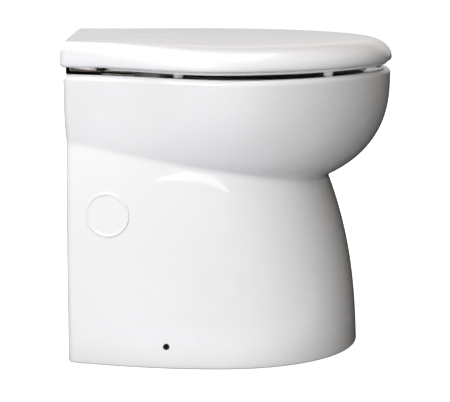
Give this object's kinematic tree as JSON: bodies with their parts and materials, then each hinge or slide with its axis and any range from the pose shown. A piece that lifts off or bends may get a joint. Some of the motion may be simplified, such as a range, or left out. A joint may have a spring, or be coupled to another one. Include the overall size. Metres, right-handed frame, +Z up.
{
  "type": "electric marine toilet",
  "caption": "White ceramic pedestal toilet for a boat, with seat, wrap-over lid, chrome hinges, and a macerator pump, flush valve and control box inside the pedestal.",
  "frame": {"origin": "on the floor, in the middle of the footprint", "axes": "+X towards the nose of the bowl, -X the flat back against the bulkhead, +Z up, +Y to the left of someone sitting on it"},
  "size_m": [0.462, 0.37, 0.443],
  "materials": {
    "ceramic": "white glaze, high gloss",
    "seat_plastic": "white moulded plastic, glossy",
    "white_rubber": "white moulded rubber, matt",
    "chrome": "polished plating",
    "steel": "brushed stainless",
    "white_plastic": "moulded, satin",
    "black_rubber": "moulded rubber, matt",
    "black_plastic": "moulded, fine texture",
    "grey_plastic": "moulded, fine texture",
    "motor_paint": "dark enamel, semi-gloss",
    "magnet": "sintered, matt",
    "copper": "copper windings and steel core",
    "brass": "turned brass",
    "board": "coated circuit board"
  },
  "bodies": {
    "pedestal": {"ceramic_bowl": "ceramic", "ceramic_basin": "ceramic", "ceramic_pedestal": "ceramic", "hinge_base_left": "chrome", "hinge_pin_left": "chrome", "hinge_base_right": "chrome", "hinge_pin_right": "chrome", "hinge_stud_left": "steel", "hinge_stud_right": "steel", "chopper_plate": "steel", "front_bearing": "steel", "rear_bearing": "steel", "sleeve_clamp_upper": "steel", "sleeve_clamp_lower": "steel", "motor_saddle": "steel", "valve_bracket": "steel", "valve_spring": "steel", "floor_bracket_left": "steel", "floor_bracket_right": "steel", "wing_nut_left": "white_plastic", "wing_nut_right": "white_plastic", "shaft_seal": "black_rubber", "outlet_sleeve": "black_rubber", "rubber_foot_left": "black_rubber", "rubber_foot_right": "black_rubber", "joker_valve": "black_rubber", "flush_hose": "black_rubber", "motor_lead": "black_rubber", "macerator_housing": "black_plastic", "pump_volute": "black_plastic", "motor_end_cap": "black_plastic", "discharge_elbow": "black_plastic", "hose_tail": "black_plastic", "valve_body": "black_plastic", "valve_coil": "black_plastic", "cable_gland": "black_plastic", "control_box": "grey_plastic", "control_box_cover": "grey_plastic", "motor_can": "motor_paint", "motor_magnet_upper": "magnet", "motor_magnet_lower": "magnet", "rim_spud": "brass", "circuit_board": "board"},
    "seat": {"seat_ring": "seat_plastic", "seat_buffer_1": "white_rubber", "seat_buffer_2": "white_rubber", "seat_buffer_3": "white_rubber", "seat_buffer_4": "white_rubber", "seat_leaf_left": "chrome", "seat_leaf_right": "chrome"},
    "lid": {"lid": "seat_plastic", "lid_buffer_1": "white_rubber", "lid_buffer_2": "white_rubber", "lid_leaf_left": "chrome", "lid_leaf_right": "chrome"},
    "rotor": {"pump_shaft": "steel", "chopper_blade": "steel", "impeller": "grey_plastic", "motor_armature": "copper"},
    "plunger": {"valve_plunger": "steel"}
  },
  "joints": [
    {"name": "seat_hinge", "type": "hinge", "parent": "pedestal", "child": "seat", "pos_m": [-0.2175, 0, 0.4285], "axis": [0, -1, 0], "range_deg": [0, 95]},
    {"name": "lid_hinge", "type": "hinge", "parent": "seat", "child": "lid", "pos_m": [-0.2175, 0, 0.4285], "axis": [0, -1, 0], "range_deg": [0, 100]},
    {"name": "pump_rotor", "type": "hinge", "parent": "pedestal", "child": "rotor", "pos_m": [0, 0, 0.085], "axis": [1, 0, 0], "continuous": true},
    {"name": "valve_lift", "type": "slide", "parent": "pedestal", "child": "plunger", "axis": [0, 0, 1], "range_m": [0, 0.003], "stiffness_N_per_m": 300, "springref_m": -0.002, "deforming": ["valve_spring"]}
  ]
}
